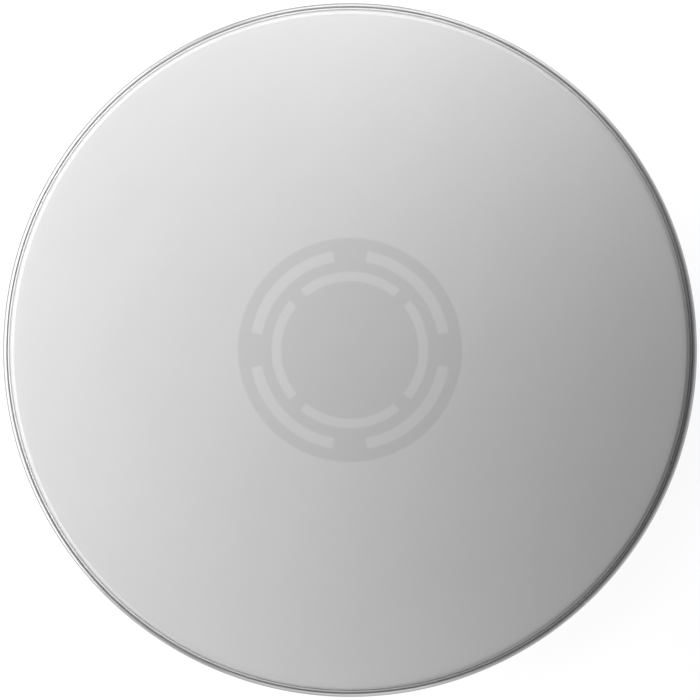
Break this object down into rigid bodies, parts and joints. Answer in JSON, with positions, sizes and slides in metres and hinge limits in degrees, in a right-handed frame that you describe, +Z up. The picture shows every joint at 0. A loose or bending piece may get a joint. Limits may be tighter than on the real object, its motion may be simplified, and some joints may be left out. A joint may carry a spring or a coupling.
{
  "type": "drum head",
  "caption": "Round drum head: coated film with a slotted centre dot, formed with a collar and bonded in a rolled aluminium hoop; the film gives when struck.",
  "frame": {"origin": "centre of the hoop's base plane, on the head's axis", "axes": "+Z up out of the playing surface; the inner ring of dot slots is centred on X and Y"},
  "size_m": [0.3664, 0.3664, 0.0161],
  "materials": {
    "hoop_aluminium": "rolled, satin",
    "weld_aluminium": "ground flush",
    "cast_resin": "cast epoxy, slightly glossy",
    "upper_film": "milky polyester film",
    "lower_film": "milky polyester film",
    "sprayed_coat": "sprayed, fine matt texture",
    "dot_adhesive": "clear pressure-sensitive layer",
    "dot_film": "polyester film, die cut"
  },
  "bodies": {
    "hoop": {"flesh_hoop": "hoop_aluminium", "hoop_weld": "weld_aluminium", "resin_bead": "cast_resin"},
    "membrane": {"top_ply": "upper_film", "bottom_ply": "lower_film", "texture_coat": "sprayed_coat", "dot_adhesive": "dot_adhesive", "centre_dot": "dot_film"}
  },
  "joints": [
    {"name": "strike_deflection", "type": "slide", "parent": "hoop", "child": "membrane", "axis": [0, 0, 1], "range_m": [-0.003, 0.003], "stiffness_N_per_m": 4000, "deforming": ["top_ply", "bottom_ply"]}
  ]
}
